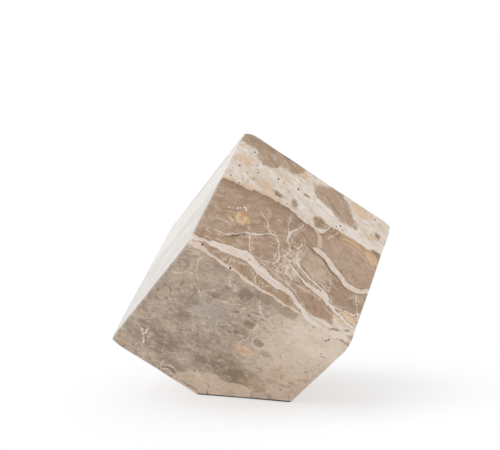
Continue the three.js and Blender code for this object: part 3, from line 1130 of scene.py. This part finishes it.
def cut_pits(block_object, pit_material):
    """Cuts the open pits."""
    random_source = random.Random(SEED)
    cutter = bmesh.new()
    for along, up, radius in UPPER_PITS:
        rough_ball(cutter, on_block(along, -PIT_RISE * radius, up), radius, random_source)
    for along, down, radius in LOWER_PITS:
        rough_ball(cutter, on_block(along, down, -PIT_RISE * radius), radius, random_source)
    mesh = bpy.data.meshes.new("pits")
    cutter.to_mesh(mesh)
    cutter.free()
    mesh.materials.append(pit_material)
    pits = bpy.data.objects.new("pits", mesh)
    bpy.context.scene.collection.objects.link(pits)
    cut = block_object.modifiers.new("pits", "BOOLEAN")
    cut.operation = "DIFFERENCE"
    cut.solver = "EXACT"
    cut.material_mode = "TRANSFER"
    cut.object = pits
    depsgraph = bpy.context.evaluated_depsgraph_get()
    pitted = bpy.data.meshes.new_from_object(block_object.evaluated_get(depsgraph))
    block_object.modifiers.clear()
    block_object.data = pitted
    bpy.data.objects.remove(pits)


def make_block(groups):
    """The block as one piece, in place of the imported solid."""
    shaped = block_mesh()
    mesh = bpy.data.meshes.new("marble_block")
    shaped.to_mesh(mesh)
    shaped.free()
    mesh.materials.append(polished_marble(groups))
    mesh.materials.append(sawn_marble(groups))
    rough = pit_dust_and_base_shadow(groups)
    mesh.materials.append(rough)
    for polygon in mesh.polygons:
        if polygon.normal.z < FACING_DOWN:
            polygon.material_index = SAWN
        # the base's rubbed arris takes the dark pit finish as painted contact shadow where the block
        # meets the floor
        elif polygon.center.z < BASE_EASE_UP * MM:
            polygon.material_index = PITTED_AND_BASE_SHADOW
        else:
            polygon.material_index = POLISHED
    block = bpy.data.objects.new("marble_block", mesh)
    bpy.context.scene.collection.objects.link(block)
    cut_pits(block, rough)
    block.data.shade_smooth()
    block.data.set_sharp_from_angle(angle=SHARP_ANGLE)
    flat = block.modifiers.new("flat faces", "WEIGHTED_NORMAL")
    flat.weight = FLAT_FACE_WEIGHT
    flat.keep_sharp = True
    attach(block, "root")
    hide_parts(BLOCK_NODE)
    return block


# Stage, light and camera

IMAGE_WIDTH = 500
FOCAL_PIXELS = 1265.1  # from the fit of the cube's corners
SENSOR = 36.0
CAMERA_PLACE = Vector((-3.7, -900.6, 193.8)) * MM
CAMERA_TILT = math.radians(4.6)  # looking down


def make_camera():
    """The camera, where the fit of the cube's corners puts it."""
    lens = bpy.data.cameras.new("camera")
    lens.sensor_width = SENSOR
    lens.lens = FOCAL_PIXELS * SENSOR / IMAGE_WIDTH
    camera = bpy.data.objects.new("camera", lens)
    camera.location = CAMERA_PLACE
    camera.rotation_euler = (math.pi / 2 - CAMERA_TILT, 0, 0)
    bpy.context.scene.collection.objects.link(camera)
    bpy.context.scene.camera = camera


FLOOR_WHITE = (0.44, 0.447, 0.459, 1)  # a little cool, against the stone's warm light
FLOOR_GLOW = 0.54  # the floor is a light table, which keeps its shadows faint
FLOOR_HALF = 20.0  # metres
WHITE_LIGHT = (1, 1, 1, 1)


def make_floor():
    """A wide white floor that gives some light of its own."""
    mesh = bpy.data.meshes.new("floor")
    signs = [(-1, -1), (1, -1), (1, 1), (-1, 1)]
    corners = [(FLOOR_HALF * x, FLOOR_HALF * y, 0) for x, y in signs]
    mesh.from_pydata(corners, [], [(0, 1, 2, 3)])
    material, _, shader = new_material("white_floor")
    shader.inputs["Base Color"].default_value = FLOOR_WHITE
    shader.inputs["Emission Color"].default_value = WHITE_LIGHT
    shader.inputs["Emission Strength"].default_value = FLOOR_GLOW
    shader.inputs["Roughness"].default_value = 1.0
    shader.inputs["Specular IOR Level"].default_value = 0.0
    mesh.materials.append(material)
    floor = bpy.data.objects.new("floor", mesh)
    bpy.context.scene.collection.objects.link(floor)


SKY_LEVEL = 0.8  # the studio's walls and ceiling
BACKDROP_LEVEL = 1.0  # the brighter wall behind the block, at the height of the horizon
BACKDROP_HEIGHT = 0.22  # it fades out from this sine of the angle over the horizon
KEY_FROM = Vector((-0.58, -0.25, 0.78))  # the wide soft light hangs over the left
KEY_WIDTH = math.radians(60)
KEY_STRENGTH = 1.05


def make_world():
    """Plain white surroundings, brighter at the horizon."""
    world = bpy.data.worlds.new("studio")
    bpy.context.scene.world = world
    world.use_nodes = True
    graph = Graph(world.node_tree)
    height = graph.parts(graph.node("ShaderNodeTexCoord").outputs["Generated"])[2]
    off = graph.math("ABSOLUTE", height)
    in_sky = graph.fade(off, BACKDROP_HEIGHT, 2 * BACKDROP_HEIGHT)
    background = world.node_tree.nodes["Background"]
    level = graph.remap(in_sky, start=0, end=1, low=BACKDROP_LEVEL, high=SKY_LEVEL)
    graph.feed(background.inputs["Strength"], level)
    background.inputs["Color"].default_value = WHITE_LIGHT


def make_light():
    """White surroundings and one wide soft light."""
    make_world()
    lamp = bpy.data.lights.new("key", "SUN")
    lamp.angle = KEY_WIDTH
    lamp.energy = KEY_STRENGTH
    light = bpy.data.objects.new("key", lamp)
    light.rotation_euler = KEY_FROM.to_track_quat("Z", "Y").to_euler()
    bpy.context.scene.collection.objects.link(light)
    bpy.context.scene.view_settings.view_transform = "Standard"


make_camera()
make_floor()
make_light()
make_block(build_groups())
